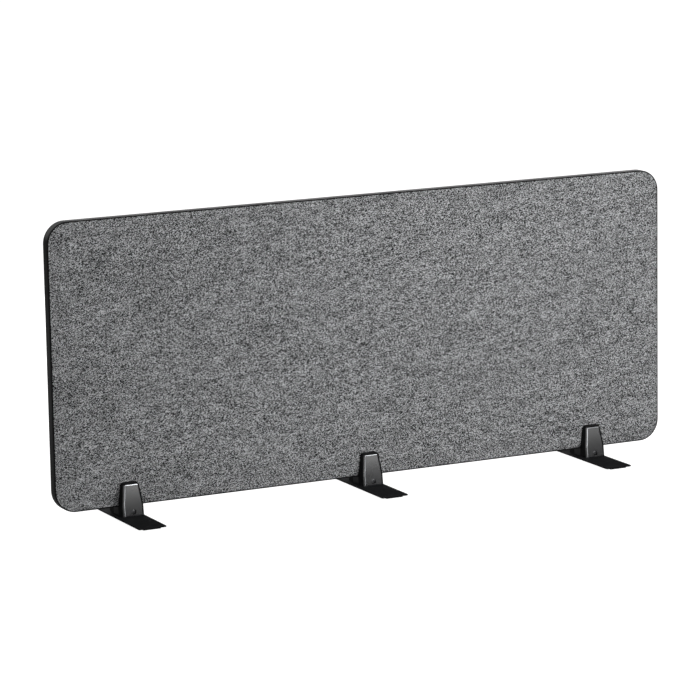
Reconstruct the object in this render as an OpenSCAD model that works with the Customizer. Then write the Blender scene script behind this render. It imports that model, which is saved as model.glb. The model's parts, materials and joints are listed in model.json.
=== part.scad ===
// Acoustic divider screen: a felt-faced panel that stands on three clamp feet.
// Lengths are in millimetres. Z is up, and the screen stands on the plane z = 0.
// The panel lies along X, centred on the origin, and its front faces -Y.

/* [Panel] */
// Width of the panel over its edge band
panel_w = 1600; // [1200:10:2000]
// Height of the panel over its edge band
panel_h = 670; // [450:10:1000]
// Radius of the panel's corners
corner_r = 51; // [30:1:56]
// Thickness of each felt facing
felt_t = 4; // [2:0.5:6]

/* [Edge band] */
// Thickness of the band round the panel's edge
band_t = 2.5; // [1.5:0.1:4]
// How far the band's lips stand proud of the felt
band_proud = 0.3; // [0.1:0.1:0.6]
// Rounding of the band's two outer edges
band_nose_r = 1.2; // [0.5:0.1:1.4]
// Thickness of the tongue that holds the band in the frame
tongue_t = 2; // [1.5:0.1:3]
// Depth of that tongue
tongue_l = 8; // [4:0.5:10]

/* [Frame] */
// Thickness of the timber frame, which the absorber slabs share
frame_t = 18; // [14:1:26]
// Height of the top and bottom rails
rail_h = 60; // [57:1:80]
// Width of the two outer uprights
stile_w = 60; // [54:1:80]
// Width of the two inner uprights
mullion_w = 45; // [40:1:70]
// Diameter of the dowels in the frame's joints
dowel_d = 8; // [6:1:10]
// Length of a dowel
dowel_l = 40; // [30:1:48]
// Distance between the two dowels of a joint
dowel_pitch = 24; // [16:1:28]

/* [Feet] */
// Distance from the panel's left end to the middle of the left clamp
left_foot_in = 181; // [120:1:300]
// Offset of the middle clamp from the panel's middle
mid_foot_x = -2; // [-60:1:60]
// Distance from the panel's right end to the middle of the right clamp
right_foot_in = 195; // [120:1:300]
// Width of a base plate
plate_w = 69; // [66:1:90]
// Length of a base plate, front to back
plate_l = 330; // [240:5:420]
// Thickness of a base plate
plate_t = 3; // [3:0.5:6]
// Radius of a base plate's corners
plate_r = 4; // [3:1:12]
// Length of the two anti-slip pads, across the plate
pad_l = 44; // [30:1:60]
// Width of a pad
pad_w = 14; // [10:1:20]
// Thickness of a pad
pad_t = 2.5; // [1:0.5:3]
// Radius of a pad's corners
pad_r = 3; // [1:0.5:4]
// Distance from the plate's front or rear edge to the pad
pad_in = 3; // [2:1:10]

/* [Saddle] */
// Height of the block under the panel
saddle_h = 18; // [17:1:24]
// Thickness of the rubber strip on the block
strip_t = 1.5; // [1:0.5:3]

/* [Jaws] */
// Height of the jaws above the panel's bottom edge
grip_h = 57; // [44:1:70]
// Width of a jaw at its base
jaw_base_w = 55; // [48:1:60]
// Width of a jaw at its top
jaw_top_w = 42; // [34:1:46]
// Height of the upright part of a jaw's sides above the base plate
jaw_upright_h = 26; // [14:0.5:34]
// Depth of a jaw at its base
jaw_base_d = 26; // [25:1:34]
// Depth of a jaw at its top
jaw_top_d = 13; // [12:1:22]
// How far a jaw's outer face draws in from its back edge
jaw_draft = 1.5; // [0.5:0.1:2.5]
// Radius of the top corners at a jaw's back edge
jaw_back_r = 7; // [4:0.5:9]
// Radius of the top corners at a jaw's outer face
jaw_face_r = 4; // [2:0.5:6]
// Wall of the hollow jaws
jaw_wall = 3; // [2:0.5:3.5]
// How far the rear jaw opens
jaw_travel = 6; // [3:0.5:7]

/* [Liners] */
// Thickness of the rubber liners between jaws and felt
liner_t = 2; // [1:0.5:4]
// Distance from a jaw's outline to its liner
liner_in = 3; // [2:0.5:5]
// Height of a liner's lower edge above the panel's bottom edge
liner_lift = 5; // [4:0.5:12]

/* [Clamp bolt] */
// Height of the bolt above the base plate
bolt_h = 9.5; // [8.5:0.5:10.5]
// Diameter of the bolt
bolt_d = 6; // [5:0.5:7]
// Diameter of its head
head_d = 10; // [9:0.5:11]
// Height of its head
head_h = 6; // [4:0.5:7]
// Width across flats of the socket in the head
socket_w = 5; // [4:0.5:6]
// Depth of that socket
socket_l = 3; // [2:0.5:3.5]
// How far the head lies below the jaw's face
head_sink = 1; // [1:0.1:3]
// Thickness of the washer
washer_t = 1; // [0.6:0.2:2]
// Diameter of the washer
washer_d = 11; // [11:0.2:12]
// Width across flats of the square nut
nut_w = 10; // [9:0.5:12]
// Thickness of the nut
nut_t = 5; // [4:0.5:6]
// Wall between the nut and the rear jaw's inner face
nut_wall = 5; // [3.5:0.5:6]

/* [Guide pins] */
// Diameter of a guide pin
pin_d = 5; // [4:0.5:6]
// Distance between the two pins
pin_pitch = 32; // [29:1:34]
// Length of a pin inside the saddle
pin_hold = 22; // [14:1:26]
// Length of a pin inside the closed rear jaw
pin_reach = 16; // [13:1:18]

/* [Fixing screws] */
// Diameter of a fixing screw
screw_d = 4; // [3:0.5:4.5]
// Diameter of its countersunk head
screw_head_d = 8; // [6:0.5:9]
// Depth of that head
screw_head_h = 2.2; // [1.5:0.1:2.8]
// Length of a fixing screw
screw_l = 10; // [8:0.5:11]
// Distance between the two screws of the front jaw
jaw_screw_pitch = 30; // [27:1:32]
// Distance between the two screws of the saddle
saddle_screw_pitch = 16; // [14:1:17]

/* [Hidden] */
// Facets of a full circle
$fn = 48;
// Steps of a jaw's rounded corner
corner_steps = 6;
// Overrun of every cut
over = 1;
// Gap between pieces that are glued or pressed together
fit_gap = 0.1;
// Gap between pieces that slide past each other
run_gap = 0.3;
// Radial gap of a pin or a thread that runs in its hole
pin_gap = 0.05;
// Gap of a screw in a hole that only clears it
clear_gap = 0.3;
// Gap round the washer in its recess
washer_gap = 0.25;
// Wall round a bore inside a jaw
boss_wall = 2.75;
// Thread left past the nut when the jaw is fully open
thread_spare = 1.5;
// Room past the end of a bolt or a pin in its blind hole
end_room = 1;

// Heights above the floor
plate_top = pad_t + plate_t;
panel_z = plate_top + saddle_h + strip_t;
panel_mid_z = panel_z + panel_h / 2;
jaw_h = saddle_h + strip_t + grip_h;
bolt_z = plate_top + bolt_h;

// Distances from the panel's middle plane
felt_y = frame_t / 2 + felt_t;
band_y = felt_y + band_proud;
jaw_y = felt_y + liner_t;
nut_y = jaw_y + nut_wall;
bolt_tip_y = nut_y + nut_t + jaw_travel + thread_spare;
head_y = face_y(bolt_h) - head_sink;
seat_y = head_y - head_h - washer_t;

// Outline that the felt and the frame share inside the band
core_w = panel_w - 2 * (band_t + fit_gap);
core_h = panel_h - 2 * (band_t + fit_gap);
core_r = corner_r - band_t - fit_gap;
bay_h = core_h - 2 * rail_h;
inner_w = core_w - 2 * stile_w;
bay_w = (inner_w - 2 * mullion_w) / 3;
mullion_x = (bay_w + mullion_w) / 2;
stile_x = (core_w - stile_w) / 2;

// Clamp centres along the panel
left_foot_x = left_foot_in - panel_w / 2;
right_foot_x = panel_w / 2 - right_foot_in;

// Middle of a base plate, whose right edge lies flush with the jaws
plate_x = (jaw_base_w - plate_w) / 2;

// Depth of a jaw's outer face, from the panel's middle plane, at a height above the plate
function face_y(h) = jaw_y + jaw_base_d - (jaw_base_d - jaw_top_d) * h / jaw_h;

// Rounded rectangle made of squares and circles, so that its arcs stay true
module rounded_rect(w, h, r) {
    square([w - 2 * r, h], center = true);
    square([w, h - 2 * r], center = true);
    for (x = [-1, 1], y = [-1, 1])
        translate([x * (w / 2 - r), y * (h / 2 - r)]) circle(r);
}

// Stands a flat outline up in the panel's plane, centred on the panel, t thick
module upright(t) {
    translate([0, 0, panel_mid_z])
        rotate([90, 0, 0])
            linear_extrude(t, center = true) children();
}

// Section of the edge band: the cap points outwards from zero, the tongue inwards
module band_section() {
    translate([-band_t, -band_y]) square([band_t - band_nose_r, 2 * band_y]);
    translate([-band_t, band_nose_r - band_y]) square([band_t, 2 * (band_y - band_nose_r)]);
    for (side = [-1, 1])
        translate([-band_nose_r, side * (band_y - band_nose_r)]) circle(band_nose_r);
    translate([-band_t - tongue_l, -tongue_t / 2]) square([tongue_l + band_nose_r, tongue_t]);
}

module edge_band() {
    color([0.11, 0.11, 0.12])
        translate([0, 0, panel_mid_z])
            rotate([90, 0, 0])
                for (turn = [0, 180])
                    rotate(turn) {
                        band_run(panel_h, panel_w);
                        rotate(90) band_run(panel_w, panel_h);
                        band_corner();
                        mirror([1, 0, 0]) band_corner();
                    }
}

// One straight run of the band, along Y at the +X edge
module band_run(run, across) {
    translate([across / 2, run / 2 - corner_r, 0])
        rotate([90, 0, 0])
            linear_extrude(run - 2 * corner_r) band_section();
}

// The band's corner at +X, +Y
module band_corner() {
    translate([panel_w / 2 - corner_r, panel_h / 2 - corner_r, 0])
        rotate_extrude(angle = 90)
            translate([corner_r, 0]) band_section();
}

module felt(side) {
    color([0.46, 0.46, 0.47])
        translate([0, side * (frame_t + felt_t) / 2, 0])
            upright(felt_t) rounded_rect(core_w, core_h, core_r);
}

// Groove in the frame's outer edge for the band's tongue
module tongue_groove() {
    upright(tongue_t + 2 * fit_gap)
        difference() {
            square([core_w + 2 * over, core_h + 2 * over], center = true);
            rounded_rect(core_w - 2 * tongue_l, core_h - 2 * tongue_l, core_r - tongue_l);
        }
}

// Pairs of pins at every joint of the frame, of a given radius and length
module dowel_set(r, l) {
    for (x = [-stile_x, -mullion_x, mullion_x, stile_x], step = [-1, 1], end = [-1, 1])
        translate([x + step * dowel_pitch / 2, 0, panel_mid_z + end * bay_h / 2])
            cylinder(r = r, h = l, center = true);
}

// A piece of the frame, cut to its place in the frame's outline
module frame_piece(x, z, w, h) {
    color([0.80, 0.66, 0.45])
        difference() {
            upright(frame_t)
                intersection() {
                    rounded_rect(core_w, core_h, core_r);
                    translate([x, z]) square([w, h], center = true);
                }
            tongue_groove();
            dowel_set(dowel_d / 2 + pin_gap, dowel_l + 2 * end_room);
        }
}

module rail(end) {
    frame_piece(0, end * (core_h - rail_h) / 2, core_w + 2 * over, rail_h);
}

module stile(side) {
    frame_piece(side * stile_x, 0, stile_w, bay_h);
}

module mullion(side) {
    frame_piece(side * mullion_x, 0, mullion_w, bay_h);
}

module frame_dowels() {
    color([0.87, 0.74, 0.53]) dowel_set(dowel_d / 2, dowel_l);
}

module absorber(place) {
    color([0.72, 0.72, 0.68])
        upright(frame_t)
            translate([place * (bay_w + mullion_w), 0])
                square([bay_w - 2 * fit_gap, bay_h - 2 * fit_gap], center = true);
}

// Moves a foot's piece to its place along the panel
module left_foot() {
    translate([left_foot_x, 0, 0]) children();
}

module middle_foot() {
    translate([mid_foot_x, 0, 0]) children();
}

module right_foot() {
    translate([right_foot_x, 0, 0]) children();
}

// Distance of the front jaw's screws from the panel's middle plane
function jaw_screw_y() = -jaw_y - jaw_base_d / 2;

// Places of the fixing screws: two in the front jaw and two in the saddle
module at_jaw_screws() {
    for (x = [-1, 1])
        translate([x * jaw_screw_pitch / 2, jaw_screw_y(), pad_t]) children();
}

module at_saddle_screws() {
    for (x = [-1, 1])
        translate([x * saddle_screw_pitch / 2, 0, pad_t]) children();
}

// A countersunk screw standing on its head, grown by gap all round and run on below by low
module screw_form(gap, low) {
    cylinder(d = screw_d + 2 * gap, h = screw_l + gap);
    cylinder(d1 = screw_head_d + 2 * gap, d2 = screw_d + 2 * gap, h = screw_head_h);
    translate([0, 0, -low]) cylinder(d = screw_head_d + 2 * gap, h = low);
}

module base_plate() {
    color([0.10, 0.10, 0.11])
        difference() {
            translate([plate_x, 0, pad_t])
                linear_extrude(plate_t) rounded_rect(plate_w, plate_l, plate_r);
            at_jaw_screws() screw_form(fit_gap, over);
            at_saddle_screws() screw_form(fit_gap, over);
        }
}

module floor_pads() {
    color([0.16, 0.16, 0.16])
        for (end = [-1, 1])
            translate([plate_x, end * (plate_l / 2 - pad_in - pad_w / 2), 0])
                linear_extrude(pad_t) rounded_rect(pad_l, pad_w, pad_r);
}

module fixing_screws() {
    color([0.62, 0.62, 0.64]) {
        at_jaw_screws() fixing_screw();
        at_saddle_screws() fixing_screw();
    }
}

module fixing_screw() {
    rotate_extrude()
        polygon([
            [0, 0],
            [screw_head_d / 2, 0],
            [screw_d / 2, screw_head_h],
            [screw_d / 2, screw_l],
            [0, screw_l]
        ]);
}

// A round bar or bore along Y, from y0 to y1 at the bolt's height
module along_y(r, y0, y1) {
    translate([0, y0, bolt_z])
        rotate([-90, 0, 0]) cylinder(r = r, h = y1 - y0);
}

module at_pins() {
    for (x = [-1, 1])
        translate([x * pin_pitch / 2, 0, 0]) children();
}

module saddle() {
    color([0.15, 0.15, 0.16])
        difference() {
            translate([-jaw_base_w / 2, -jaw_y, plate_top])
                cube([jaw_base_w, 2 * jaw_y - run_gap, saddle_h]);
            along_y(bolt_d / 2 + clear_gap, -jaw_y - over, jaw_y + over);
            at_pins() along_y(pin_d / 2 + pin_gap, jaw_y - pin_hold - end_room, jaw_y + over);
            at_saddle_screws() screw_form(pin_gap, over);
        }
}

module saddle_strip() {
    color([0.08, 0.08, 0.08])
        translate([-jaw_base_w / 2, -jaw_y, plate_top + saddle_h])
            cube([jaw_base_w, 2 * jaw_y - run_gap, strip_t]);
}

module guide_pins() {
    color([0.72, 0.72, 0.74])
        at_pins() along_y(pin_d / 2, jaw_y - pin_hold, jaw_y + pin_reach);
}

// Outline of a jaw from in front, set in by an amount, from its base at zero height
function jaw_outline(in, r) =
    let (
        base = jaw_base_w / 2 - in,
        top = jaw_top_w / 2 - in,
        h = jaw_h - in,
        rise = h - jaw_upright_h,
        slope = base - top,
        side = sqrt(rise * rise + slope * slope),
        centre_x = top - r * (side - slope) / rise,
        start = atan2(slope, rise),
        arc = [
            for (i = [0 : corner_steps])
                let (turn = start + (90 - start) * i / corner_steps)
                [centre_x + r * cos(turn), h - r + r * sin(turn)]
        ],
        half = concat([[base, 0], [base, jaw_upright_h]], arc)
    )
    concat(half, [for (i = [len(half) - 1 : -1 : 0]) [-half[i][0], half[i][1]]]);

// Solid between two rings of points, the first nearer the panel
module loft(inner, outer) {
    n = len(inner);
    polyhedron(
        points = concat(inner, outer),
        faces = concat(
            [[for (i = [n - 1 : -1 : 0]) i]],
            [[for (i = [0 : n - 1]) n + i]],
            [for (i = [0 : n - 1]) [i, (i + 1) % n, n + i]],
            [for (i = [0 : n - 1]) [(i + 1) % n, n + (i + 1) % n, n + i]]
        )
    );
}

// Outside of the rear jaw
module jaw_form() {
    loft(
        [for (p = jaw_outline(0, jaw_back_r)) [p[0], jaw_y, plate_top + p[1]]],
        [for (p = jaw_outline(jaw_draft, jaw_face_r)) [p[0], face_y(p[1]), plate_top + p[1]]]
    );
}

// Hollow inside the rear jaw, open at its base
module jaw_hollow() {
    inner_r = max(jaw_back_r - jaw_wall, over);
    outer_r = max(jaw_face_r - jaw_wall, over);
    in = jaw_draft + jaw_wall;
    loft(
        [for (p = jaw_outline(jaw_wall, inner_r)) [p[0], jaw_y + jaw_wall, hollow_z(p[1])]],
        [for (p = jaw_outline(in, outer_r)) [p[0], face_y(p[1]) - jaw_wall, hollow_z(p[1])]]
    );
}

// Height of a point of the hollow, whose base runs on below the jaw
function hollow_z(h) = plate_top + (h > 0 ? h : -over);

module front_jaw() {
    recess_r = washer_d / 2 + washer_gap;
    boss_h = screw_l - plate_t + end_room + jaw_wall;
    color([0.20, 0.20, 0.21])
        mirror([0, 1, 0])
            difference() {
                jaw_form();
                difference() {
                    jaw_hollow();
                    along_y(recess_r + boss_wall, jaw_y, face_y(0));
                    mirror([0, 1, 0])
                        at_jaw_screws() cylinder(r = screw_d / 2 + boss_wall, h = plate_t + boss_h);
                    translate([-jaw_base_w / 2, -jaw_screw_y() - jaw_wall / 2, pad_t])
                        cube([jaw_base_w, jaw_wall, plate_t + boss_h]);
                }
                along_y(bolt_d / 2 + clear_gap, jaw_y - over, face_y(0));
                along_y(recess_r, seat_y, face_y(0) + over);
                mirror([0, 1, 0]) at_jaw_screws() screw_form(pin_gap, over);
            }
}

module rear_jaw() {
    nut_half = nut_w / 2 + fit_gap;
    boss_half = nut_half + boss_wall;
    color([0.20, 0.20, 0.21])
        difference() {
            jaw_form();
            difference() {
                jaw_hollow();
                translate([-boss_half, jaw_y, 0])
                    cube([2 * boss_half, bolt_tip_y - jaw_y + jaw_wall, bolt_z + boss_half]);
                at_pins()
                    along_y(pin_d / 2 + boss_wall, jaw_y, jaw_y + pin_reach + end_room + boss_wall);
            }
            translate([-jaw_base_w / 2 - over, 0, plate_top - over])
                cube([jaw_base_w + 2 * over, face_y(0) + over, over + run_gap]);
            along_y(bolt_d / 2 + pin_gap, jaw_y - over, bolt_tip_y + end_room);
            at_pins() along_y(pin_d / 2 + pin_gap, jaw_y - over, jaw_y + pin_reach + end_room);
            translate([-nut_half, nut_y - fit_gap, 0])
                cube([2 * nut_half, nut_t + 2 * fit_gap, bolt_z + nut_half]);
        }
}

// Rubber liner on a jaw's inner face; side is -1 in front and 1 behind
module liner(side) {
    low = saddle_h + strip_t + liner_lift;
    color([0.08, 0.08, 0.08])
        translate([0, side * (felt_y + liner_t / 2), plate_top])
            rotate([90, 0, 0])
                linear_extrude(liner_t, center = true)
                    intersection() {
                        polygon(jaw_outline(liner_in, jaw_back_r - liner_in));
                        translate([-jaw_base_w / 2, low]) square([jaw_base_w, jaw_h]);
                    }
}

module clamp_washer() {
    color([0.62, 0.62, 0.64])
        difference() {
            along_y(washer_d / 2, -seat_y - washer_t, -seat_y);
            along_y(bolt_d / 2 + clear_gap, -seat_y - washer_t - over, -seat_y + over);
        }
}

module clamp_bolt() {
    color([0.30, 0.30, 0.31])
        difference() {
            union() {
                along_y(head_d / 2, -head_y, -head_y + head_h);
                along_y(bolt_d / 2, -head_y, bolt_tip_y);
            }
            translate([0, -head_y - over, bolt_z])
                rotate([-90, 0, 0])
                    cylinder(d = socket_w / cos(30), h = socket_l + over, $fn = 6);
        }
}

module clamp_nut() {
    color([0.62, 0.62, 0.64])
        difference() {
            translate([-nut_w / 2, nut_y, bolt_z - nut_w / 2]) cube([nut_w, nut_t, nut_w]);
            along_y(bolt_d / 2 + pin_gap, nut_y - over, nut_y + nut_t + over);
        }
}

edge_band();
felt(-1);  // front_felt
felt(1);  // rear_felt
rail(1);  // top_rail
rail(-1);  // bottom_rail
stile(-1);  // left_stile
stile(1);  // right_stile
mullion(-1);  // left_mullion
mullion(1);  // right_mullion
frame_dowels();
absorber(-1);  // left_absorber
absorber(0);  // middle_absorber
absorber(1);  // right_absorber

left_foot() base_plate();  // left_base_plate
left_foot() floor_pads();  // left_floor_pads
left_foot() saddle();  // left_saddle
left_foot() saddle_strip();  // left_saddle_strip
left_foot() front_jaw();  // left_front_jaw
left_foot() liner(-1);  // left_front_liner
left_foot() fixing_screws();  // left_fixing_screws
left_foot() guide_pins();  // left_guide_pins
left_foot() clamp_washer();  // left_clamp_washer
left_foot() clamp_bolt();  // left_clamp_bolt
left_foot() rear_jaw();  // left_rear_jaw
left_foot() liner(1);  // left_rear_liner
left_foot() clamp_nut();  // left_clamp_nut

middle_foot() base_plate();  // middle_base_plate
middle_foot() floor_pads();  // middle_floor_pads
middle_foot() saddle();  // middle_saddle
middle_foot() saddle_strip();  // middle_saddle_strip
middle_foot() front_jaw();  // middle_front_jaw
middle_foot() liner(-1);  // middle_front_liner
middle_foot() fixing_screws();  // middle_fixing_screws
middle_foot() guide_pins();  // middle_guide_pins
middle_foot() clamp_washer();  // middle_clamp_washer
middle_foot() clamp_bolt();  // middle_clamp_bolt
middle_foot() rear_jaw();  // middle_rear_jaw
middle_foot() liner(1);  // middle_rear_liner
middle_foot() clamp_nut();  // middle_clamp_nut

right_foot() base_plate();  // right_base_plate
right_foot() floor_pads();  // right_floor_pads
right_foot() saddle();  // right_saddle
right_foot() saddle_strip();  // right_saddle_strip
right_foot() front_jaw();  // right_front_jaw
right_foot() liner(-1);  // right_front_liner
right_foot() fixing_screws();  // right_fixing_screws
right_foot() guide_pins();  // right_guide_pins
right_foot() clamp_washer();  // right_clamp_washer
right_foot() clamp_bolt();  // right_clamp_bolt
right_foot() rear_jaw();  // right_rear_jaw
right_foot() liner(1);  // right_rear_liner
right_foot() clamp_nut();  // right_clamp_nut
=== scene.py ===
# Looks of the acoustic divider screen: a felt-faced panel in a black edge band on three clamp feet.
# Everything is in metres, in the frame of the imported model: the panel lies along X and faces -Y.
import json
import math

import bmesh
import bpy
from mathutils import Matrix, Vector


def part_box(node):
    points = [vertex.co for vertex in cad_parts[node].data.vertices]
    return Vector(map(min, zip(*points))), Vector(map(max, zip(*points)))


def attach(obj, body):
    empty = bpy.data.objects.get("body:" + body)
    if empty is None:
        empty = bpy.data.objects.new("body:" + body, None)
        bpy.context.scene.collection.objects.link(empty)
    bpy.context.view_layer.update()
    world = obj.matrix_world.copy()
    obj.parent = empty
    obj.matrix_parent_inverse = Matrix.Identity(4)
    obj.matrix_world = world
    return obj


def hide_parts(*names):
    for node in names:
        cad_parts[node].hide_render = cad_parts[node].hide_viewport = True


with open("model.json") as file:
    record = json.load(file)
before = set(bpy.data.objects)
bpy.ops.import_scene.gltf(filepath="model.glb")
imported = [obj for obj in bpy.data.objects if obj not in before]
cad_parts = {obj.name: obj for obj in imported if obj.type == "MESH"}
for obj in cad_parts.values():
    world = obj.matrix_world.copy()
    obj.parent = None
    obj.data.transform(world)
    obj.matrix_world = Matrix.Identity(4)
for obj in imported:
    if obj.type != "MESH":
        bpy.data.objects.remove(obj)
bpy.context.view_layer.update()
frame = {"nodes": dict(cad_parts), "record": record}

MM = 0.001
FULL_TURN = 2 * math.pi
QUARTER_TURN = math.pi / 2
SAME_PLACE = 0.02 * MM
MERGE = 0.00001

BODY_OF = {node: body for body, nodes in frame["record"]["behaviour"]["bodies"].items() for node in nodes}
SIDES = ("left", "middle", "right")
X_AXIS, Y_AXIS, Z_AXIS = (1, 0, 0), (0, 1, 0), (0, 0, 1)
ALONG, ACROSS, UP = range(3)


def middle_x(node):
    low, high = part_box(node)
    return (low.x + high.x) / 2


FOOT_X = {side: middle_x(f"{side}_clamp_bolt") for side in SIDES}


# ---------------------------------------------------------------- camera, light and floor

# Where the photograph was taken from, worked out from the panel's and the feet's outlines: angles to the
# left of straight ahead, above level and of tilt in radians, the lens and sensor in millimetres
VIEW_LEFT = 0.46287
VIEW_UP = 0.18637
VIEW_ROLL = -0.01717
VIEW_LENS, SENSOR_WIDTH = 187.25, 36
VIEW_AIM = Vector((-0.03856, 0.0, 0.32837))
VIEW_DISTANCE = 8.5722
NEAREST, FARTHEST = 0.1, 200

WHITE = (1.0, 1.0, 1.0, 1)
SURROUND_LIGHT = 0.14
FLOOR_GREY = (0.25, 0.25, 0.25, 1)
FLOOR_GLOW = 0.95
FLOOR_SIZE = 80


def photo_camera():
    """The camera stands to the left of the screen's front and looks slightly down on it."""
    level = math.cos(VIEW_UP)
    back = Vector((-math.sin(VIEW_LEFT) * level, -math.cos(VIEW_LEFT) * level, math.sin(VIEW_UP)))
    right = Vector((math.cos(VIEW_LEFT), -math.sin(VIEW_LEFT), 0))
    up = back.cross(right)
    turn, keep = math.sin(VIEW_ROLL), math.cos(VIEW_ROLL)
    across = keep * right + turn * up
    upward = keep * up - turn * right
    data = bpy.data.cameras.new("photo_camera")
    data.sensor_width = SENSOR_WIDTH
    data.lens = VIEW_LENS
    data.clip_start, data.clip_end = NEAREST, FARTHEST
    camera = bpy.data.objects.new("photo_camera", data)
    bpy.context.scene.collection.objects.link(camera)
    place = Matrix((across, upward, back)).transposed().to_4x4()
    place.translation = VIEW_AIM + back * VIEW_DISTANCE
    camera.matrix_world = place
    bpy.context.scene.camera = camera


def soft_sun(name, towards, strength, spread):
    """A distant soft light that shines along the direction given."""
    data = bpy.data.lights.new(name, "SUN")
    data.energy = strength
    data.angle = math.radians(spread)
    light = bpy.data.objects.new(name, data)
    light.rotation_mode = "QUATERNION"
    light.rotation_quaternion = Vector(towards).to_track_quat("-Z", "Y")
    bpy.context.scene.collection.objects.link(light)


def soft_panel(name, place, aim, width, height, power, mirrored=True):
    """A light panel at a place, turned to its aim; one that isn't mirrored in shiny faces only fills in."""
    data = bpy.data.lights.new(name, "AREA")
    data.shape = "RECTANGLE"
    data.size, data.size_y = width, height
    data.energy = power
    light = bpy.data.objects.new(name, data)
    light.location = place
    light.rotation_mode = "QUATERNION"
    light.rotation_quaternion = (Vector(aim) - Vector(place)).to_track_quat("-Z", "Y")
    light.visible_camera = False
    light.visible_glossy = mirrored
    bpy.context.scene.collection.objects.link(light)


def seen_or_lit(tree, lit, seen):
    """One value for what the camera sees directly, another for the light that falls on the screen."""
    ray = add_node(tree, "ShaderNodeLightPath").outputs["Is Camera Ray"]
    return spread_of(tree, ray, 0.0, 1.0, lit, seen)


def white_surround():
    """An even surround that looks full white and gives only a little light."""
    world = bpy.data.worlds.new("white_surround")
    bpy.context.scene.world = world
    world.use_nodes = True
    tree = world.node_tree
    feed(tree, tree.nodes["Background"], Color=WHITE, Strength=seen_or_lit(tree, SURROUND_LIGHT, 1.0))


def pale_floor():
    """A matt floor that runs past the view and looks white."""
    bpy.ops.object.select_all(action="DESELECT")
    bpy.ops.mesh.primitive_plane_add(size=FLOOR_SIZE, location=(0, 0, 0))
    floor = bpy.context.object
    floor.name = "pale_floor"
    paint, tree, shader = new_finish("pale_floor_paint", Base_Color=FLOOR_GREY, Roughness=0.9,
                                     Specular_IOR_Level=0.1, Emission_Color=WHITE)
    feed(tree, shader, Emission_Strength=seen_or_lit(tree, 0.0, FLOOR_GLOW))
    floor.data.materials.append(paint)


def studio():
    """The floor, the surround and nine soft lights: panels in front and behind, and three broad suns."""
    scene = bpy.context.scene
    scene.view_settings.view_transform = "Standard"
    scene.view_settings.look = "None"
    white_surround()
    # Place, aim, width and height in metres, and power in watts
    soft_panel("front_right_panel", (1.1, -2.5, 0.92), (0.5, 0.0, 0.3), 2.2, 1.0, 36)
    soft_panel("high_panel", (1.1, -1.3, 2.2), (0.3, 0.0, 0.2), 2.2, 0.45, 32)
    soft_panel("low_fill_panel", (0.10, -1.10, 0.12), (0.10, 0.0, 0.15), 1.1, 0.2, 2.6, mirrored=False)
    soft_panel("rear_panel", (1.6, 3.2, 1.1), (0.0, 0.0, 0.5), 3.0, 1.2, 13)
    soft_panel("high_rear_panel", (0.6, 1.4, 2.3), (0.2, 0.0, 0.2), 2.2, 0.45, 24, mirrored=False)
    soft_panel("rear_fill_panel", (-0.2, 2.8, 0.8), (0.0, 0.0, 0.3), 2.4, 1.2, 48, mirrored=False)
    # Direction, strength, and breadth of the sun in degrees
    soft_sun("overhead_light", (0.05, 0.12, -1.0), 0.90, 80)
    soft_sun("camera_side_light", (0.60, 0.80, -0.10), 0.85, 25)
    soft_sun("rear_light", (0.30, -0.85, -0.60), 0.80, 60)
    pale_floor()


# ---------------------------------------------------------------- building finishes

def add_node(tree, kind, **settings):
    """A shader node with its settings; inputs are set afterwards with feed()."""
    node = tree.nodes.new(kind)
    for key, value in settings.items():
        setattr(node, key, value)
    return node


def fill_socket(tree, socket, value):
    """Links a socket to another node's output, or gives it a plain value."""
    if isinstance(value, bpy.types.NodeSocket):
        tree.links.new(value, socket)
    else:
        socket.default_value = value


def feed(tree, node, **inputs):
    """Fills a node's inputs by name; a name's underscores stand for spaces."""
    for key, value in inputs.items():
        fill_socket(tree, node.inputs[key.replace("_", " ")], value)
    return node


def noise_of(tree, place, scale, detail=2.0, roughness=0.5, distortion=0.0):
    node = add_node(tree, "ShaderNodeTexNoise")
    feed(tree, node, Vector=place, Scale=scale, Detail=detail, Roughness=roughness, Distortion=distortion)
    return node.outputs["Fac"]


def flecks_of(tree, place, scale):
    node = add_node(tree, "ShaderNodeTexVoronoi")
    feed(tree, node, Vector=place, Scale=scale)
    return node.outputs["Distance"]


def parts_of(tree, vector):
    node = add_node(tree, "ShaderNodeSeparateXYZ")
    fill_socket(tree, node.inputs[0], vector)
    return node.outputs


def sum_of(tree, kind, first, second=0.0, third=0.0, clamp=False):
    node = add_node(tree, "ShaderNodeMath", operation=kind, use_clamp=clamp)
    for socket, value in zip(node.inputs, (first, second, third)):
        fill_socket(tree, socket, value)
    return node.outputs[0]


def spread_of(tree, value, low, high, new_low=0.0, new_high=1.0):
    """Stretches the part of a value between low and high over a new range, and cuts off the rest."""
    node = add_node(tree, "ShaderNodeMapRange", clamp=True)
    feed(tree, node, Value=value, From_Min=low, From_Max=high, To_Min=new_low, To_Max=new_high)
    return node.outputs["Result"]


def blend_of(tree, share, first, second):
    """Colour between two colours; share 0 gives the first."""
    node = add_node(tree, "ShaderNodeMix", data_type="RGBA")
    colours = [s for s in node.inputs if s.type == "RGBA"]
    factor = [s for s in node.inputs if s.type == "VALUE"][0]
    for socket, value in ((factor, share), (colours[0], first), (colours[1], second)):
        fill_socket(tree, socket, value)
    return [s for s in node.outputs if s.type == "RGBA"][0]


def grey(level, tint=(1.0, 1.0, 1.0)):
    return (level * tint[0], level * tint[1], level * tint[2], 1)


def swing_of(tree, pattern, reach):
    """A pattern's swing about its middle, stretched so that reach to either side gives half."""
    return spread_of(tree, pattern, 0.5 - reach, 0.5 + reach, -0.5, 0.5)


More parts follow.
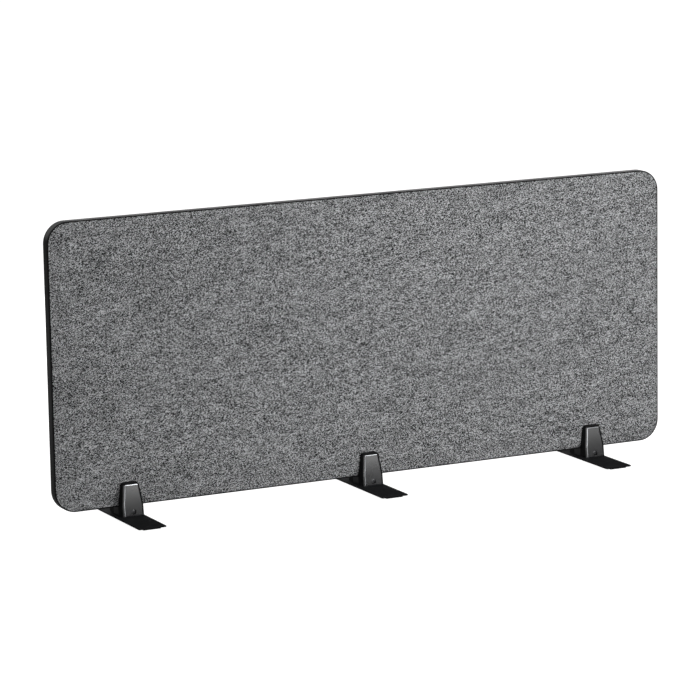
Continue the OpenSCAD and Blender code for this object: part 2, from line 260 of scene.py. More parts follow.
def placed_pattern(tree, stretch=(1, 1, 1), turn=(0, 0, 0)):
    """The piece's own coordinates in metres, turned first and then stretched."""
    turned_place = add_node(tree, "ShaderNodeMapping")
    feed(tree, turned_place, Vector=add_node(tree, "ShaderNodeTexCoord").outputs["Object"], Rotation=turn)
    node = add_node(tree, "ShaderNodeMapping")
    feed(tree, node, Vector=turned_place.outputs["Vector"], Scale=stretch)
    return node.outputs["Vector"]


def bump_of(tree, height, distance, strength=1.0):
    node = add_node(tree, "ShaderNodeBump")
    feed(tree, node, Strength=strength, Distance=distance, Height=height)
    return node.outputs["Normal"]


def new_finish(name, **constants):
    """A material, its node tree and its shader, with the shader's constant values set."""
    finish = bpy.data.materials.new(name)
    finish.use_nodes = True
    tree = finish.node_tree
    shader = tree.nodes["Principled BSDF"]
    feed(tree, shader, **constants)
    return finish, tree, shader


def new_effect(name, inputs, outputs):
    """An empty shared node group with its sockets, and its input and output nodes."""
    group = bpy.data.node_groups.new(name, "ShaderNodeTree")
    for label, kind, value in inputs:
        socket = group.interface.new_socket(label, in_out="INPUT", socket_type=kind)
        if value is not None:
            socket.default_value = value
    for label, kind in outputs:
        group.interface.new_socket(label, in_out="OUTPUT", socket_type=kind)
    start = group.nodes.new("NodeGroupInput")
    end = group.nodes.new("NodeGroupOutput")
    return group, start, end


def use_effect(tree, group, **inputs):
    node = add_node(tree, "ShaderNodeGroup", node_tree=group)
    return feed(tree, node, **inputs)


VECTOR, NUMBER = "NodeSocketVector", "NodeSocketFloat"


def strands_effect():
    """Curling strands that cross each other: bright lines where two cloudy patterns pass their middle."""
    group, start, end = new_effect(
        "curling_strands",
        [("Place", VECTOR, None), ("Density", NUMBER, 300.0), ("Curl", NUMBER, 1.0),
         ("Width", NUMBER, 0.12)],
        [("Strand", NUMBER)],
    )
    lines = []
    for step, factor in enumerate((1.0, 1.37)):
        shift = add_node(group, "ShaderNodeVectorMath", operation="ADD")
        fill_socket(group, shift.inputs[0], start.outputs["Place"])
        fill_socket(group, shift.inputs[1], (0.37 * step, 0.11 * step, 0.73 * step))
        scale = sum_of(group, "MULTIPLY", start.outputs["Density"], factor)
        cloud = noise_of(group, shift.outputs[0], scale, 1.0, 0.5, start.outputs["Curl"])
        off = sum_of(group, "ABSOLUTE", sum_of(group, "SUBTRACT", cloud, 0.5))
        share = sum_of(group, "DIVIDE", off, start.outputs["Width"])
        lines.append(sum_of(group, "SUBTRACT", 1.0, share, clamp=True))
    feed(group, end, Strand=sum_of(group, "MAXIMUM", lines[0], lines[1]))
    return group


def grain_effect():
    """Fine even grain of moulded or coated surfaces: a height, and a slow change of gloss."""
    group, start, end = new_effect(
        "surface_grain",
        [("Place", VECTOR, None), ("Fineness", NUMBER, 2000.0), ("Patches", NUMBER, 20.0)],
        [("Height", NUMBER), ("Gloss", NUMBER)],
    )
    place, fineness = start.outputs["Place"], start.outputs["Fineness"]
    fine = noise_of(group, place, fineness, 2.0, 0.6)
    height = sum_of(group, "MULTIPLY_ADD", flecks_of(group, place, fineness), 0.5, fine)
    slow = noise_of(group, place, start.outputs["Patches"], 3.0, 0.6)
    feed(group, end, Height=height, Gloss=slow)
    return group


def dust_effect():
    """A little dust where a surface faces up, in uneven drifts."""
    group, start, end = new_effect(
        "settled_dust",
        [("Place", VECTOR, None), ("Amount", NUMBER, 0.1)],
        [("Mask", NUMBER)],
    )
    facing = add_node(group, "ShaderNodeNewGeometry").outputs["Normal"]
    upward = spread_of(group, parts_of(group, facing)["Z"], 0.55, 0.95)
    drift = noise_of(group, start.outputs["Place"], 55.0, 6.0, 0.7)
    specks = noise_of(group, start.outputs["Place"], 1400.0, 2.0, 0.6)
    uneven = sum_of(group, "MULTIPLY", spread_of(group, drift, 0.35, 0.7),
                    spread_of(group, specks, 0.4, 0.65, 0.35, 1.0))
    share = sum_of(group, "MULTIPLY", upward, uneven)
    feed(group, end, Mask=sum_of(group, "MULTIPLY", share, start.outputs["Amount"]))
    return group


def wood_effect():
    """Growth rings, fine fibres and pores of sawn timber whose grain runs along the pattern's X."""
    group, start, end = new_effect(
        "sawn_timber",
        [("Place", VECTOR, None), ("Rings", NUMBER, 90.0)],
        [("Ring", NUMBER), ("Fibre", NUMBER)],
    )
    stretch = add_node(group, "ShaderNodeVectorMath", operation="MULTIPLY")
    fill_socket(group, stretch.inputs[0], start.outputs["Place"])
    fill_socket(group, stretch.inputs[1], (0.07, 1.0, 1.0))
    along = stretch.outputs[0]
    wander = noise_of(group, along, 14.0, 3.0, 0.55)
    parts = parts_of(group, along)
    across = sum_of(group, "ADD", parts["Z"], sum_of(group, "MULTIPLY", parts["Y"], 0.6))
    drifted = sum_of(group, "MULTIPLY_ADD", wander, 0.05, across)
    wave = sum_of(group, "FRACT", sum_of(group, "MULTIPLY", drifted, start.outputs["Rings"]))
    feed(group, end, Ring=sum_of(group, "POWER", wave, 3.0),
         Fibre=noise_of(group, along, 1500.0, 3.0, 0.7))
    return group


STRANDS, GRAIN, DUST, WOOD = strands_effect(), grain_effect(), dust_effect(), wood_effect()

COOL, WARM = (0.94, 0.98, 1.05), (1.0, 0.98, 0.95)
FELT_GROUND = 0.15
FELT_DARK, FELT_PALE = grey(0.004, (0.96, 0.99, 1.04)), grey(0.55, (0.985, 1.0, 1.02))
DUST_COLOUR = grey(0.32, WARM)
WOOL_DARK, WOOL_PALE = grey(0.30, (1.0, 0.97, 0.90)), grey(0.62, (1.0, 0.98, 0.93))
WOOL_BINDER = (0.20, 0.14, 0.07, 1)
PINE_PALE, PINE_DARK = (0.66, 0.47, 0.27, 1), (0.42, 0.24, 0.10, 1)
BEECH_PALE, BEECH_DARK = (0.60, 0.40, 0.24, 1), (0.44, 0.26, 0.13, 1)


def heather_felt():
    """Grey marl felt: light and dark strands matted together over a ground of soft level streaks."""
    finish, tree, shader = new_finish("heather_grey_felt", Specular_IOR_Level=0.15, Sheen_Weight=0.10,
                                      Sheen_Roughness=0.5)
    place = placed_pattern(tree)
    level = placed_pattern(tree, (0.34, 1, 1.3), (0, 0.10, 0))
    lying = placed_pattern(tree, (0.58, 1, 1.24), (0, 0.30, 0))
    crossing = placed_pattern(tree, (0.6, 1, 1.15), (0.1, -0.20, 0.05))
    clouds = noise_of(tree, level, 30.0, 4.0, 0.62)
    streaks = noise_of(tree, level, 110.0, 1.0, 0.5, 0.4)
    coarse = noise_of(tree, lying, 463.0, 0.0, 0.5, 0.6)
    light, dark, hair = [
        use_effect(tree, STRANDS, Place=where, Density=density, Curl=curl, Width=width).outputs["Strand"]
        for where, density, curl, width in ((lying, 320.0, 1.2, 0.12), (crossing, 330.0, 1.4, 0.13),
                                            (place, 1300.0, 2.0, 0.14))]
    tone = FELT_GROUND
    for layer, share in ((swing_of(tree, clouds, 0.20), 0.20), (swing_of(tree, streaks, 0.15), 0.29),
                         (swing_of(tree, coarse, 0.10), 1.10), (light, 1.15), (dark, -1.15)):
        tone = sum_of(tree, "MULTIPLY_ADD", layer, share, tone)
    tone = sum_of(tree, "MULTIPLY_ADD", hair, 0.12, tone, clamp=True)
    tone = sum_of(tree, "MULTIPLY", tone, spread_of(tree, hair, 0.0, 1.0, 0.62, 1.0))
    colour = blend_of(tree, tone, FELT_DARK, FELT_PALE)
    rough = spread_of(tree, coarse, 0.3, 0.7, 0.86, 1.0)
    height = sum_of(tree, "MULTIPLY_ADD", hair, 0.4, sum_of(tree, "ADD", light, coarse))
    feed(tree, shader, Base_Color=colour, Roughness=rough, Normal=bump_of(tree, height, 0.35 * MM, 0.8))
    return finish


def moulded(name, level, tint, rough_low, rough_high, fineness, depth, specular, dust):
    """Moulded or coated surface: fine grain, uneven gloss, a slow tone change and a trace of dust."""
    finish, tree, shader = new_finish(name, Specular_IOR_Level=specular)
    place = placed_pattern(tree)
    grain = use_effect(tree, GRAIN, Place=place, Fineness=fineness, Patches=18.0)
    mask = use_effect(tree, DUST, Place=place, Amount=dust).outputs["Mask"]
    base = blend_of(tree, grain.outputs["Gloss"], grey(level * 0.85, tint), grey(level * 1.15, tint))
    colour = blend_of(tree, mask, base, DUST_COLOUR)
    rough = spread_of(tree, grain.outputs["Gloss"], 0.3, 0.7, rough_low, rough_high)
    feed(tree, shader, Base_Color=colour, Roughness=rough,
         Normal=bump_of(tree, grain.outputs["Height"], depth, 0.5))
    return finish


def plated_steel(name, level, tint, rough_low, rough_high):
    """Zinc-plated or blackened steel with faint turning marks and cloudy gloss."""
    finish, tree, shader = new_finish(name)
    place = placed_pattern(tree)
    marks = noise_of(tree, placed_pattern(tree, (1, 40, 1)), 90.0, 2.0, 0.6)
    grain = use_effect(tree, GRAIN, Place=place, Fineness=3500.0, Patches=160.0)
    colour = blend_of(tree, grain.outputs["Gloss"], grey(level * 0.8, tint), grey(level * 1.15, tint))
    rough = spread_of(tree, marks, 0.3, 0.7, rough_low, rough_high)
    shine = spread_of(tree, grain.outputs["Gloss"], 0.2, 0.4, 0.9, 1.0)
    height = sum_of(tree, "ADD", marks, grain.outputs["Height"])
    feed(tree, shader, Base_Color=colour, Roughness=rough, Metallic=shine,
         Normal=bump_of(tree, height, 0.02 * MM, 0.5))
    return finish


def timber(name, pale, dark, rings, turn):
    """Planed softwood or turned hardwood; turn lays the grain along the piece."""
    finish, tree, shader = new_finish(name, Specular_IOR_Level=0.35)
    place = placed_pattern(tree, turn=turn)
    wood = use_effect(tree, WOOD, Place=place, Rings=rings)
    figure = sum_of(tree, "MULTIPLY_ADD", wood.outputs["Fibre"], 0.5,
                    sum_of(tree, "MULTIPLY", wood.outputs["Ring"], 0.6), clamp=True)
    colour = blend_of(tree, figure, pale, dark)
    rough = spread_of(tree, wood.outputs["Fibre"], 0.3, 0.7, 0.55, 0.75)
    feed(tree, shader, Base_Color=colour, Roughness=rough,
         Normal=bump_of(tree, wood.outputs["Fibre"], 0.08 * MM, 0.6))
    return finish


def mineral_wool():
    """Pressed absorber slab: pale matted fibres with darker binder spots."""
    finish, tree, shader = new_finish("absorber_wool", Specular_IOR_Level=0.1)
    place = placed_pattern(tree)
    fibres = use_effect(tree, STRANDS, Place=place, Density=420.0, Curl=1.8, Width=0.15).outputs["Strand"]
    clumps = noise_of(tree, place, 60.0, 4.0, 0.6)
    spots = spread_of(tree, flecks_of(tree, place, 160.0), 0.05, 0.16, 1.0, 0.0)
    tone = sum_of(tree, "MULTIPLY_ADD", fibres, 0.45, spread_of(tree, clumps, 0.3, 0.7, 0.1, 0.6),
                  clamp=True)
    base = blend_of(tree, tone, WOOL_DARK, WOOL_PALE)
    colour = blend_of(tree, sum_of(tree, "MULTIPLY", spots, 0.5), base, WOOL_BINDER)
    feed(tree, shader, Base_Color=colour, Roughness=spread_of(tree, clumps, 0.3, 0.7, 0.9, 1.0),
         Normal=bump_of(tree, sum_of(tree, "ADD", fibres, clumps), 0.6 * MM, 0.8))
    return finish


FELT = heather_felt()
# Moulded or coated: tone, tint, roughness from and to, grains to the metre, grain depth, gloss and dust
BAND_PLASTIC = moulded("edge_band_plastic", 0.003, COOL, 0.30, 0.38, 2600.0, 0.01 * MM, 0.09, 0.02)
PLATE_COAT = moulded("plate_powder_coat", 0.0085, COOL, 0.50, 0.64, 1700.0, 0.05 * MM, 0.015, 0.010)
JAW_PLASTIC = moulded("jaw_charcoal_plastic", 0.010, COOL, 0.25, 0.31, 2400.0, 0.01 * MM, 0.65, 0.02)
# Painted shade: the jaw's sides and top, the thin margin round its face, and the chamfer and rounded edge
# on its right get this near-black matt finish, darker than the satin face
JAW_PAINTED_SHADE = moulded("jaw_painted_shade_black", 0.004, COOL, 0.55, 0.70, 1800.0, 0.03 * MM, 0.08, 0.02)
# Painted highlight: the chamfer round each jaw's face gets this bright plated-steel finish, which stands in
# for the light line along its top and left edges
JAW_PAINTED_HIGHLIGHT = plated_steel("jaw_painted_highlight_edge", 0.40, (0.97, 0.99, 1.03), 0.26, 0.36)
BLOCK_PLASTIC = moulded("saddle_black_plastic", 0.010, COOL, 0.45, 0.6, 2200.0, 0.03 * MM, 0.25, 0.03)
RUBBER = moulded("black_rubber", 0.009, (1, 1, 1), 0.7, 0.85, 1500.0, 0.04 * MM, 0.20, 0.03)
ZINC = plated_steel("zinc_plated_steel", 0.62, (1.0, 1.0, 1.0), 0.25, 0.42)
BOLT_STEEL = plated_steel("black_bolt_steel", 0.18, (0.98, 0.99, 1.02), 0.26, 0.40)
PINE_LENGTHWAYS = timber("pine_lengthways", PINE_PALE, PINE_DARK, 120.0, (0, 0, 0))
PINE_UPRIGHT = timber("pine_upright", PINE_PALE, PINE_DARK, 120.0, (0, QUARTER_TURN, 0))
BEECH_UPRIGHT = timber("beech_upright", BEECH_PALE, BEECH_DARK, 300.0, (0, QUARTER_TURN, 0))
WOOL = mineral_wool()


# ---------------------------------------------------------------- modelling by hand

def deselect():
    """Back to object mode with nothing selected."""
    if bpy.context.object and bpy.context.object.mode != "OBJECT":
        bpy.ops.object.mode_set(mode="OBJECT")
    bpy.ops.object.select_all(action="DESELECT")


def start_from_block(name, low, high):
    """A block from corner to corner, left in edit mode."""
    low, high = Vector(low), Vector(high)
    deselect()
    bpy.ops.mesh.primitive_cube_add(size=1, location=(low + high) / 2)
    piece = bpy.context.object
    piece.name = name
    piece.scale = high - low
    bpy.ops.object.transform_apply(location=True, rotation=True, scale=True)
    bpy.ops.object.mode_set(mode="EDIT")
    return piece


def pick(kind, wanted):
    """Selects only the corners, edges or faces of the piece in edit mode that are wanted."""
    bpy.ops.mesh.select_mode(type=kind)
    bpy.ops.mesh.select_all(action="DESELECT")
    mesh = bpy.context.object.data
    shape = bmesh.from_edit_mesh(mesh)
    parts = {"VERT": shape.verts, "EDGE": shape.edges, "FACE": shape.faces}[kind]
    for part in parts:
        if wanted(part):
            part.select_set(True)
    shape.select_flush_mode()
    bmesh.update_edit_mesh(mesh)


def pick_all():
    bpy.ops.mesh.select_all(action="SELECT")


def near(a, b):
    return abs(a - b) < SAME_PLACE


def all_corners(wanted):
    """A test for edges and faces whose corners all lie at a wanted place."""
    return lambda part: all(wanted(corner.co) for corner in part.verts)


def at_height(z):
    return lambda co: near(co.z, z)


def every_one(part):
    return True


def runs_along(axis):
    """A test for edges that run along one axis, given by its number."""
    others = [i for i in range(3) if i != axis]
    return lambda edge: all(near(edge.verts[0].co[i], edge.verts[1].co[i]) for i in others)


def round_off(wanted, width, steps):
    pick("EDGE", wanted)
    bpy.ops.mesh.bevel(offset=width, segments=steps, affect="EDGES")


def extrude(shift):
    bpy.ops.mesh.extrude_region_move(TRANSFORM_OT_translate={"value": shift})


def slice_across(axis, start, stop, cuts, pick_faces):
    """Cuts the picked faces into even slices along one axis, given by its number."""
    for step in range(1, cuts):
        pick_faces()
        spot, facing = Vector((0, 0, 0)), Vector((0, 0, 0))
        spot[axis] = start + (stop - start) * step / cuts
        facing[axis] = 1
        bpy.ops.mesh.bisect(plane_co=spot, plane_no=facing)


def tidy_shell():
    """Merges doubles and turns the faces outwards."""
    pick_all()
    bpy.ops.mesh.remove_doubles(threshold=MERGE)
    bpy.ops.mesh.normals_make_consistent(inside=False)


def start_from_line(name, points):
    """A line of edges drawn point by point by extruding, left in edit mode with all selected."""
    deselect()
    bpy.ops.mesh.primitive_plane_add(size=MM, location=points[0])
    piece = bpy.context.object
    piece.name = name
    bpy.ops.object.transform_apply(location=True, rotation=True, scale=True)
    bpy.ops.object.mode_set(mode="EDIT")
    bpy.ops.mesh.select_mode(type="VERT")
    pick_all()
    bpy.ops.mesh.merge(type="CENTER")
    for here, there in zip(points, points[1:]):
        extrude(Vector(there) - Vector(here))
    pick_all()
    return piece


def turned(name, profile, at, axis, steps=32):
    """A piece turned on a lathe: profile is (radius, distance along the axis) from end to end."""
    at, axis = Vector(at), Vector(axis)
    points = [at + Vector(X_AXIS) * radius + axis * along for radius, along in profile]
    piece = start_from_line(name, points)
    bpy.ops.mesh.spin(steps=steps, angle=FULL_TURN, center=at, axis=axis)
    tidy_shell()
    return piece


def hold(piece):
    """Selects one piece alone, in object mode."""
    deselect()
    bpy.context.view_layer.objects.active = piece
    piece.select_set(True)


def apply_modifier(piece, kind, **settings):
    hold(piece)
    modifier = piece.modifiers.new(kind.lower(), kind)
    for key, value in settings.items():
        setattr(modifier, key, value)
    bpy.ops.object.modifier_apply(modifier=modifier.name)


def cut_away(piece, *cutters):
    """Cuts the cutters out of the piece and removes them."""
    for cutter in cutters:
        apply_modifier(piece, "BOOLEAN", operation="DIFFERENCE", solver="EXACT", object=cutter)
        bpy.data.objects.remove(cutter)


def smooth(piece, angle):
    hold(piece)
    bpy.ops.object.shade_smooth_by_angle(angle=math.radians(angle))


def crisp(piece, angle):
    """Smooth shading that keeps broad faces flat right up to their rounded edges."""
    smooth(piece, angle)
    apply_modifier(piece, "WEIGHTED_NORMAL", keep_sharp=True)


def dress(piece, finish):
    piece.data.materials.clear()
    piece.data.materials.append(finish)


def cloudy_texture(name, size, depth):
    """A cloudy pattern for a displace modifier, its size in metres."""
    texture = bpy.data.textures.new(name, "CLOUDS")
    texture.noise_scale = size
    texture.noise_depth = depth
    return texture


def moved_copy(piece, name, shift):
    """A copy with its own mesh, moved within the mesh."""
    copy = piece.copy()
    copy.data = piece.data.copy()
    copy.name = name
    copy.data.name = name
    copy.data.transform(Matrix.Translation(shift))
    bpy.context.scene.collection.objects.link(copy)
    return copy


def joined(pieces, name):
    deselect()
    for piece in pieces:
        piece.select_set(True)
    bpy.context.view_layer.objects.active = pieces[0]
    bpy.ops.object.join()
    pieces[0].name = name
    return pieces[0]


def fit_piece(piece, node, finish):
    """Puts a piece in the place of one CAD node; without a finish given, it keeps those it has."""
    if finish:
        dress(piece, finish)
    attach(piece, BODY_OF[node])
    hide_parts(node)


def fit_to_feet(pattern, node_word, piece_word, finish):
    """Copies a piece modelled at x = 0 to each foot, and puts it in the place of that foot's node."""
    for side in SIDES:
        copy = moved_copy(pattern, f"{side}_{piece_word}", (FOOT_X[side], 0, 0))
        fit_piece(copy, f"{side}_{node_word}", finish)
    bpy.data.objects.remove(pattern)


def foot_box(node_word):
    """Corners of the middle foot's node, measured from its clamp's middle."""
    shift = Vector((FOOT_X["middle"], 0, 0))
    low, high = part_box(f"middle_{node_word}")
    return low - shift, high - shift


# ---------------------------------------------------------------- panel

PANEL_LOW, PANEL_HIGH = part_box("edge_band")
FELT_LOW, FELT_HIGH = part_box("front_felt")
BAND_R = 51 * MM
FELT_R = 48.4 * MM
FELT_T = FELT_HIGH.y - FELT_LOW.y
FELT_EDGE_R = 1.2 * MM
FELT_PATCH, FELT_CALM_RIM = 45 * MM, 20 * MM
FELT_WAVE, FELT_WAVE_HEIGHT = 140 * MM, 0.9 * MM
BAND_SEAM_X, BAND_GAP = 0.30, 0.2 * MM
WOOL_PATCH, WOOL_EDGE_R = 30 * MM, 2.0 * MM
WOOL_LUMP, WOOL_LUMP_HEIGHT = 35 * MM, 1.2 * MM


def felt_facing(side):
    """A felt sheet pressed on the frame: rounded corners and edges, and a face that is not dead flat."""
    node = "front_felt" if side < 0 else "rear_felt"
    low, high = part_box(node)
    inner = high.y if side < 0 else low.y
    deselect()
    bpy.ops.mesh.primitive_plane_add(size=1, location=((low.x + high.x) / 2, inner, (low.z + high.z) / 2),
                                     rotation=(QUARTER_TURN, 0, 0))
    piece = bpy.context.object
    piece.name = f"{node}_facing"
    piece.scale = (high.x - low.x, high.z - low.z, 1)
    bpy.ops.object.transform_apply(location=True, rotation=True, scale=True)
    bpy.ops.object.mode_set(mode="EDIT")
    pick_all()
    bpy.ops.mesh.bevel(offset=FELT_R, segments=12, affect="VERTICES")
    pick_all()
    extrude((0, side * FELT_T, 0))
    outer = inner + side * FELT_T
    on_outside = all_corners(lambda co: near(co.y, outer))
    round_off(on_outside, FELT_EDGE_R, 3)
    for axis in (ALONG, UP):
        cuts = round((high[axis] - low[axis]) / FELT_PATCH)
        slice_across(axis, low[axis], high[axis], cuts, lambda: pick("FACE", on_outside))
    tidy_shell()
    bpy.ops.object.mode_set(mode="OBJECT")
    open_face = piece.vertex_groups.new(name="open_face")
    rim = FELT_CALM_RIM
    inside = [v.index for v in piece.data.vertices if near(v.co.y, outer)
              and low.x + rim < v.co.x < high.x - rim and low.z + rim < v.co.z < high.z - rim]
    open_face.add(inside, 1.0, "REPLACE")
    apply_modifier(piece, "DISPLACE", texture=cloudy_texture("felt_waves", FELT_WAVE, 2),
                   strength=FELT_WAVE_HEIGHT, mid_level=1.0, texture_coords="LOCAL",
                   vertex_group="open_face")
    piece.vertex_groups.clear()
    smooth(piece, 50)
    fit_piece(piece, node, FELT)


def edge_band_strip():
    """One strip of moulding bent round the whole panel: rounded lips, two fine grooves with a flat land
    between them, and a tongue that grips the frame. Its ends meet under the panel, between the middle
    foot and the right one."""
    half = PANEL_HIGH.y / MM
    cap, lip, set_back, groove = 2.5, 1.2, 0.15, 0.6
    front = [(cap, half), (cap - 0.6, half)]
    for angle in (0, 22.5, 45, 67.5, 90):
        rise, run = lip * math.sin(math.radians(angle)), lip * math.cos(math.radians(angle))
        front.append((set_back + lip - rise, half - (lip - run)))
    front += [(set_back, half - 2.6), (groove, half - 3.0), (groove, half - 3.5), (0.1, half - 3.9),
              (0.0, half - 6.5)]
    tongue = [(cap, 1.0), (cap + 8.0, 0.75)]
    section = front + [(depth, -across) for depth, across in reversed(front)]
    section += [(depth, -across) for depth, across in tongue]
    section += [(depth, across) for depth, across in reversed(tongue)]
    points = [Vector((BAND_SEAM_X + BAND_GAP, across * MM, PANEL_LOW.z + depth * MM))
              for depth, across in section]
    piece = start_from_line("edge_band_strip", points)
    bpy.ops.mesh.edge_face_add()
    left, right = PANEL_LOW.x + BAND_R, PANEL_HIGH.x - BAND_R
    low, high = PANEL_LOW.z + BAND_R, PANEL_HIGH.z - BAND_R
    route = [((right - BAND_SEAM_X - BAND_GAP, 0, 0), (right, 0, low)),
             ((0, 0, high - low), (right, 0, high)),
             ((left - right, 0, 0), (left, 0, high)),
             ((0, 0, low - high), (left, 0, low))]
    for run, corner in route:
        extrude(run)
        bpy.ops.mesh.spin(steps=16, angle=QUARTER_TURN, center=corner, axis=Y_AXIS)
    extrude((BAND_SEAM_X - BAND_GAP - left, 0, 0))
    tidy_shell()
    smooth(piece, 30)
    fit_piece(piece, "edge_band", BAND_PLASTIC)


def absorber_slab(place):
    """A pressed fibre slab with soft edges and an uneven face."""
    node = f"{place}_absorber"
    low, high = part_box(node)
    shrink = Vector((0.3, 0.1, 0.3)) * MM
    piece = start_from_block(f"{place}_absorber_slab", low + shrink, high - shrink)
    round_off(every_one, WOOL_EDGE_R, 2)
    for axis in (ALONG, UP):
        cuts = round((high[axis] - low[axis]) / WOOL_PATCH)
        slice_across(axis, low[axis], high[axis], cuts, pick_all)
    tidy_shell()
    apply_modifier(piece, "DISPLACE", texture=cloudy_texture("wool_lumps", WOOL_LUMP, 3),
                   strength=WOOL_LUMP_HEIGHT, mid_level=1.0, texture_coords="LOCAL")
    smooth(piece, 60)
    fit_piece(piece, node, WOOL)


# ---------------------------------------------------------------- feet

PLATE_LOW, PLATE_HIGH = foot_box("base_plate")
FLOOR_TOP = PLATE_LOW.z
PLATE_TOP = PLATE_HIGH.z
BOLT_Z = (foot_box("clamp_bolt")[0].z + foot_box("clamp_bolt")[1].z) / 2
JAW_LOW, JAW_HIGH = foot_box("front_jaw")
JAW_Y = -JAW_HIGH.y
JAW_SCREW_X, JAW_SCREW_Y = 15 * MM, -28 * MM
SADDLE_SCREW_X = 8 * MM
PIN_X = 16 * MM
JAW_SCREW_SPOTS = [(-JAW_SCREW_X, JAW_SCREW_Y), (JAW_SCREW_X, JAW_SCREW_Y)]
SADDLE_SCREW_SPOTS = [(-SADDLE_SCREW_X, 0), (SADDLE_SCREW_X, 0)]
SCREW_SPOTS = JAW_SCREW_SPOTS + SADDLE_SCREW_SPOTS
PLATE_CORNER_R, PLATE_TOP_EASE, PLATE_FOOT_EASE = 4 * MM, 0.7 * MM, 0.4 * MM
PAD_WIDTH, PAD_CORNER_R = 14 * MM, 3 * MM
PAD_RIM, PAD_GROOVE, PAD_BANDS = 1.2 * MM, 0.6 * MM, 11
SADDLE_EASE, STRIP_EASE, LINER_EASE = 0.7 * MM, 0.3 * MM, 0.4 * MM
PIN_SOCKET_R, CLEARANCE_R, JAW_BORE_R, HEAD_RECESS_R = 2.55 * MM, 3.3 * MM, 3.05 * MM, 5.75 * MM
# In millimetres: the play round a screw, and the bolt's thread, whose start is measured from the panel's
# middle plane
PLATE_PLAY, SCREW_PLAY = 0.1, 0.05
THREAD_PITCH, THREAD_ROOT, THREAD_CREST, THREAD_START = 1.0, 2.40, 3.0, 8.5


def in_mm(profile):
    return [(radius * MM, along * MM) for radius, along in profile]


def screw_holes(spots, play):
    """Cutters for countersunk screws that come up from below the plate."""
    head, shank = 4 + play, 2 + play
    profile = in_mm([(0, -1), (head, -1), (head, 0), (shank, 2.2), (shank, 11), (0, 11)])
    return [turned("screw_hole", profile, (x, y, FLOOR_TOP), Z_AXIS) for x, y in spots]


def base_plate():
    """Laser-cut steel plate: rounded corners, eased edges, four countersunk holes."""
    plate = start_from_block("plate", PLATE_LOW, PLATE_HIGH)
    round_off(runs_along(UP), PLATE_CORNER_R, 6)
    round_off(all_corners(at_height(PLATE_TOP)), PLATE_TOP_EASE, 3)
    round_off(all_corners(at_height(FLOOR_TOP)), PLATE_FOOT_EASE, 2)
    tidy_shell()
    cut_away(plate, *screw_holes(SCREW_SPOTS, PLATE_PLAY))
    crisp(plate, 30)
    fit_to_feet(plate, "base_plate", "plate_steel", PLATE_COAT)


def floor_pads():
    """Two anti-slip pads under the plate, with a rim and grooves moulded in the underside."""
    low, high = foot_box("floor_pads")
    underside = all_corners(at_height(low.z))
    pads = []
    for start in (low.y, high.y - PAD_WIDTH):
        front, back = start + PAD_RIM, start + PAD_WIDTH - PAD_RIM
        inside_rim = all_corners(lambda co: low.x + PAD_RIM / 2 < co.x
                                 and front - MERGE < co.y < back + MERGE)
        pad = start_from_block("pad", (low.x, start, low.z), (high.x, start + PAD_WIDTH, high.z))
        round_off(runs_along(UP), PAD_CORNER_R, 5)
        pick("FACE", underside)
        bpy.ops.mesh.inset(thickness=PAD_RIM)
        slice_across(ACROSS, front, back, PAD_BANDS,
                     lambda: pick("FACE", lambda face: underside(face) and inside_rim(face)))
        pick("FACE", lambda face: underside(face) and inside_rim(face)
             and int((face.calc_center_median().y - front) / (back - front) * PAD_BANDS) % 2 == 0)
        extrude((0, 0, PAD_GROOVE))
        tidy_shell()
        bpy.ops.object.mode_set(mode="OBJECT")
        pads.append(pad)
    pads = joined(pads, "pads")
    crisp(pads, 40)
    fit_to_feet(pads, "floor_pads", "pad_set", RUBBER)


def fixing_screws():
    """Countersunk socket screws, seen only from under the plate."""
    socket_r, socket_depth = 1.45 * MM, 2.8 * MM
    body = in_mm([(0, 0), (3.7, 0), (4.0, 0.25), (2.0, 2.2), (2.0, 9.3), (1.5, 10), (0, 10)])
    screws = []
    for x, y in SCREW_SPOTS:
        screw = turned("screw", body, (x, y, FLOOR_TOP), Z_AXIS, 24)
        deselect()
        bpy.ops.mesh.primitive_cylinder_add(vertices=6, radius=socket_r, depth=socket_depth,
                                            location=(x, y, FLOOR_TOP))
        cut_away(screw, bpy.context.object)
        screws.append(screw)
    screws = joined(screws, "screws")
    smooth(screws, 30)
    fit_to_feet(screws, "fixing_screws", "screw_set", ZINC)


def bore(radius, start, stop, x=0.0):
    """Cutter for a round hole along Y at the bolt's height."""
    return turned("bore", [(0, start), (radius, start), (radius, stop), (0, stop)], (x, 0, BOLT_Z), Y_AXIS)


def pin_sockets(start, stop):
    return [bore(PIN_SOCKET_R, start, stop, x) for x in (-PIN_X, PIN_X)]


def saddle():
    """Block under the panel, with eased edges, the bolt's clearance hole and the pins' two sockets."""
    low, high = foot_box("saddle")
    block = start_from_block("saddle", low, high)
    round_off(every_one, SADDLE_EASE, 2)
    tidy_shell()
    cut_away(block, bore(CLEARANCE_R, -20 * MM, 20 * MM), *pin_sockets(-8 * MM, 20 * MM),
             *screw_holes(SADDLE_SCREW_SPOTS, SCREW_PLAY))
    crisp(block, 30)
    fit_to_feet(block, "saddle", "saddle_block", BLOCK_PLASTIC)
    low, high = foot_box("saddle_strip")
    strip = start_from_block("strip", low, high)
    round_off(every_one, STRIP_EASE, 2)
    tidy_shell()
    crisp(strip, 30)
    fit_to_feet(strip, "saddle_strip", "saddle_rubber", RUBBER)


JAW_H = JAW_HIGH.z - PLATE_TOP
JAW_BASE, JAW_TOP = JAW_HIGH.x, 21 * MM
JAW_KINK = 26 * MM
JAW_BASE_D, JAW_TOP_D = JAW_HIGH.y - JAW_LOW.y, 13 * MM
JAW_DRAFT = 1.5 * MM
JAW_BACK_CORNER_R, JAW_FACE_CORNER_R = 7 * MM, 4 * MM
JAW_CROWN, CROWN_STEPS = 1.2 * MM, 10
JAW_FILLET, JAW_BACK_EASE = 3.0 * MM, 0.5 * MM
